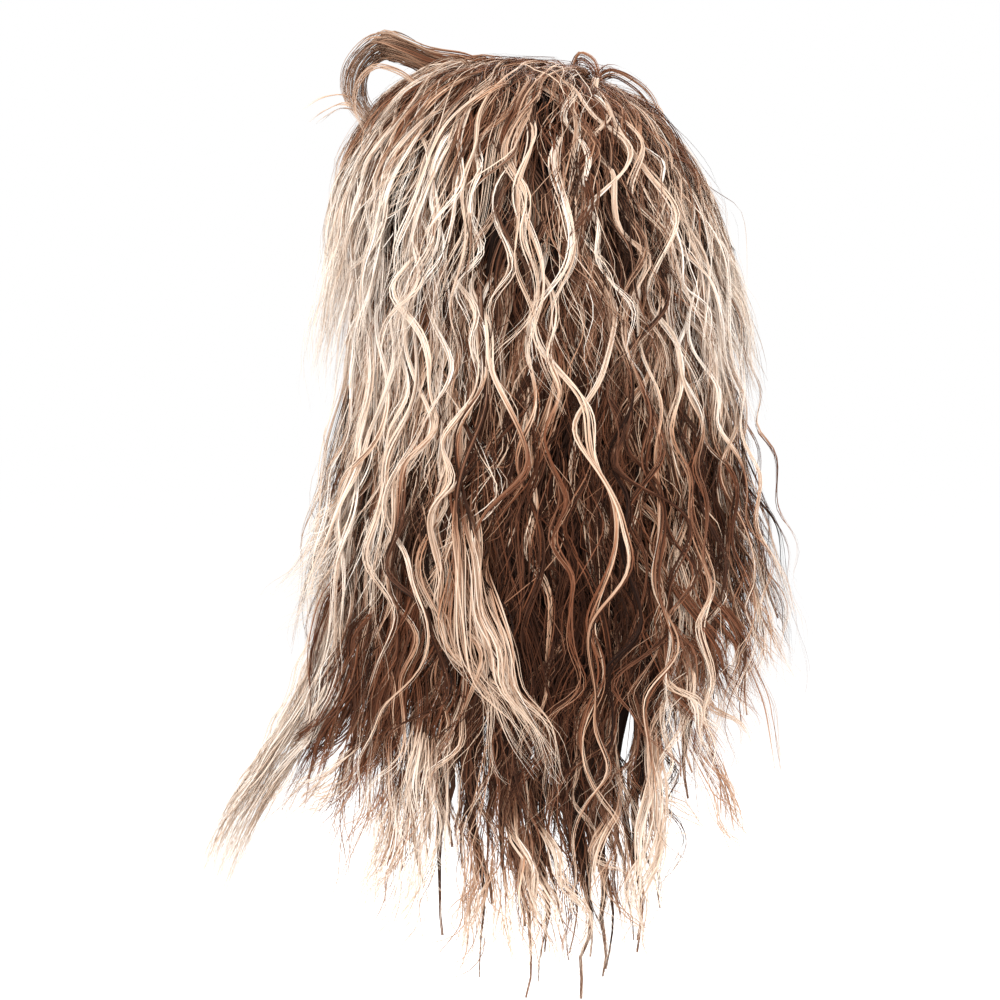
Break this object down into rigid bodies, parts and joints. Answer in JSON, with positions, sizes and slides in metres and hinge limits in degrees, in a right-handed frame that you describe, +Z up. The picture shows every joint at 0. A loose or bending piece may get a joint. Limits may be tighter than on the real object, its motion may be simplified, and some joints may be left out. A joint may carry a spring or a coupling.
{
  "type": "mullet wig",
  "caption": "Long wavy mullet wig: a thin elastic-edged cap with short layered hair over the crown and sides and long hair hanging at the back.",
  "frame": {"origin": "inside of the cap's top, where the cap rests on the crown of the head", "axes": "+Z up, +Y the way the wearer looks, so the long hair hangs on the -Y side, +X to the wearer's right"},
  "size_m": [0.3562, 0.2431, 0.562],
  "materials": {
    "cap_net": "fine stretch net, dark brown",
    "elastic": "woven elastic, near black",
    "short_hair": "wavy fibre, copper-brown roots and beige blonde tips",
    "long_hair": "wavy fibre, dark and rusty brown with beige blonde locks"
  },
  "bodies": {
    "root": {"cap": "cap_net", "edge_band": "elastic", "crown_hair": "short_hair", "fringe_hair": "short_hair", "side_hair_left": "short_hair", "side_hair_right": "short_hair", "back_hair_left": "long_hair", "back_hair_middle": "long_hair", "back_hair_right": "long_hair", "nape_hair_left": "long_hair", "nape_hair_middle": "long_hair", "nape_hair_right": "long_hair"}
  },
  "joints": []
}
